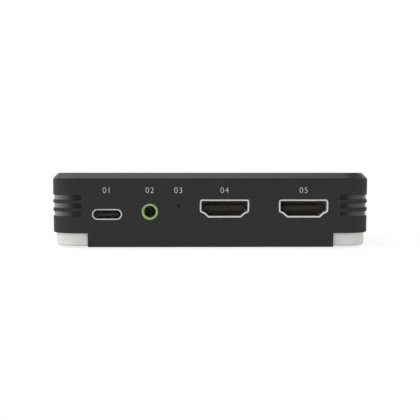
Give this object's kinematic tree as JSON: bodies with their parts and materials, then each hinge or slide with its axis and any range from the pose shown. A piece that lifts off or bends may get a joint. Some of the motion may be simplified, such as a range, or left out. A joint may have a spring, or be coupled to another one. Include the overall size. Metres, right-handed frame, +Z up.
{
  "type": "video capture box",
  "caption": "Small dark electronics box with a chamfered lid, slotted corners, a pale inset base and video, data and audio sockets in one wall.",
  "frame": {"origin": "on the table, under the middle of the case: the undersides of the rubber feet are at z = 0", "axes": "+X along the port wall with the data socket at -X and the video input at +X, -Y out of the port wall, +Z up"},
  "size_m": [0.0974, 0.068, 0.0228],
  "materials": {
    "cover_plastic": "fine spark texture, dark grey",
    "case_plastic": "fine spark texture, near black",
    "base_plastic": "satin, pale grey white",
    "bar_plastic": "smoky gloss",
    "foot_rubber": "matt, soft",
    "screw_steel": "black zinc",
    "board_laminate": "solder mask over glass laminate",
    "socket_steel": "nickel plated, drawn",
    "socket_plastic": "moulded nylon",
    "contact_gold": "gold flash",
    "ring_plastic": "lime green",
    "jack_plastic": "moulded nylon",
    "switch_plastic": "moulded nylon",
    "switch_steel": "tin plated",
    "chip_resin": "moulded resin",
    "lead_tin": "tin plated",
    "sink_aluminium": "black anodised, extruded",
    "pad_silicone": "soft, filled",
    "can_steel": "tin plated sheet",
    "capacitor_ceramic": "fired, tan",
    "resistor_ceramic": "glazed black",
    "inductor_ferrite": "pressed powder, grey",
    "crystal_steel": "satin lid",
    "tall_aluminium": "drawn can",
    "tall_plastic": "moulded"
  },
  "bodies": {
    "case": {"top_cover": "cover_plastic", "body_shell": "case_plastic", "base_shell": "base_plastic", "corner_bars_port_left": "bar_plastic", "corner_bars_port_right": "bar_plastic", "corner_bars_far_left": "bar_plastic", "corner_bars_far_right": "bar_plastic", "rubber_feet": "foot_rubber", "case_screws": "screw_steel", "board_screws": "screw_steel", "main_board": "board_laminate", "video_out_shell": "socket_steel", "video_out_insulator": "socket_plastic", "video_out_contacts": "contact_gold", "video_in_shell": "socket_steel", "video_in_insulator": "socket_plastic", "video_in_contacts": "contact_gold", "data_socket_shell": "socket_steel", "data_socket_insulator": "socket_plastic", "data_socket_contacts": "contact_gold", "audio_socket_ring": "ring_plastic", "audio_socket_body": "jack_plastic", "audio_socket_contacts": "contact_gold", "mix_switch_base": "switch_plastic", "mix_switch_bracket": "switch_steel", "mix_switch_dome": "switch_steel", "mix_switch_terminals": "lead_tin", "capture_processor": "chip_resin", "video_splitter_chip": "chip_resin", "video_receiver_chip": "chip_resin", "memory_chips": "chip_resin", "flash_chip": "chip_resin", "flash_chip_leads": "lead_tin", "audio_codec_chip": "chip_resin", "thermal_pad": "pad_silicone", "heat_sink": "sink_aluminium", "shield_frame": "can_steel", "shield_can": "can_steel", "ceramic_capacitors": "capacitor_ceramic", "ceramic_capacitor_ends": "lead_tin", "chip_resistors": "resistor_ceramic", "chip_resistor_ends": "lead_tin", "power_inductors": "inductor_ferrite", "voltage_regulators": "chip_resin", "crystal_cans": "crystal_steel", "tall_capacitor_bases": "tall_plastic", "tall_capacitors": "tall_aluminium", "surge_arrays": "chip_resin"},
    "mix_button": {"mix_switch_plunger": "switch_plastic"}
  },
  "joints": [
    {"name": "mix_button_press", "type": "slide", "parent": "case", "child": "mix_button", "axis": [0, 1, 0], "range_m": [0, 0.00025], "stiffness_N_per_m": 6400, "deforming": ["mix_switch_dome"]}
  ]
}
